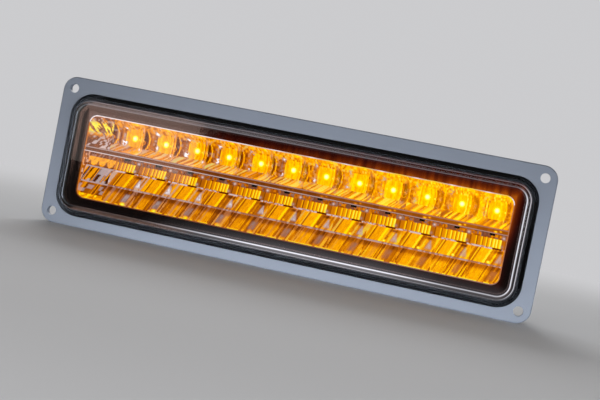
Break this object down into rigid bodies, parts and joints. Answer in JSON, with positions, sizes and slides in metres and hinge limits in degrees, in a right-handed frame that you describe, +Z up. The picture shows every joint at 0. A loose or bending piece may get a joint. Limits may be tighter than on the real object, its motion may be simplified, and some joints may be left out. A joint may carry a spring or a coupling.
{
  "type": "parking light",
  "caption": "Long rectangular bumper parking and turn lamp: flat screwed flange, clear raised lens, row of amber diode bowls over a fluted stepped reflector.",
  "frame": {"origin": "middle of the four screw holes on the back face of the mounting flange", "axes": "+X to the right seen from in front, +Y into the vehicle, behind the flange, +Z up; the lit face looks along -Y"},
  "size_m": [0.2834, 0.0595, 0.0854],
  "materials": {
    "grey_plastic": "satin grey moulded plastic",
    "clear_lens": "clear polished polycarbonate",
    "black_sealant": "black butyl bead",
    "black_bezel": "black moulded plastic, smooth",
    "bright_reflector": "moulded plastic, vacuum metallised",
    "circuit_board": "glass-fibre board with green mask",
    "amber_diode": "clear dome on a lit amber chip",
    "steel_screw": "zinc-plated steel",
    "black_component": "black moulded epoxy",
    "capacitor_can": "aluminium can",
    "lead_black": "black insulation",
    "lead_brown": "brown insulation",
    "lead_blue": "blue insulation",
    "black_nylon": "black nylon",
    "black_rubber": "soft black rubber",
    "brass_blade": "tin-flashed brass",
    "white_membrane": "porous white film"
  },
  "bodies": {
    "root": {"housing": "grey_plastic", "lens": "clear_lens", "lens_seal": "black_sealant", "bezel": "black_bezel", "row_reflector": "bright_reflector", "step_reflector": "bright_reflector", "row_board": "circuit_board", "step_board": "circuit_board", "row_diode_01": "amber_diode", "row_diode_02": "amber_diode", "row_diode_03": "amber_diode", "row_diode_04": "amber_diode", "row_diode_05": "amber_diode", "row_diode_06": "amber_diode", "row_diode_07": "amber_diode", "row_diode_08": "amber_diode", "row_diode_09": "amber_diode", "row_diode_10": "amber_diode", "row_diode_11": "amber_diode", "row_diode_12": "amber_diode", "step_diode_01": "amber_diode", "step_diode_02": "amber_diode", "step_diode_03": "amber_diode", "step_diode_04": "amber_diode", "step_diode_05": "amber_diode", "step_diode_06": "amber_diode", "step_diode_07": "amber_diode", "step_diode_08": "amber_diode", "step_diode_09": "amber_diode", "step_diode_10": "amber_diode", "step_diode_11": "amber_diode", "step_diode_12": "amber_diode", "board_screws": "steel_screw", "rectifier_diode": "black_component", "driver_chip": "black_component", "capacitor": "capacitor_can", "resistors": "black_component", "lead_ground": "lead_black", "lead_park": "lead_brown", "lead_turn": "lead_blue", "inlet_shell": "black_nylon", "inlet_gasket": "black_rubber", "inlet_screws": "steel_screw", "terminal_ground": "brass_blade", "terminal_park": "brass_blade", "terminal_turn": "brass_blade", "vent_membrane": "white_membrane", "vent_cap": "black_rubber"}
  },
  "joints": []
}
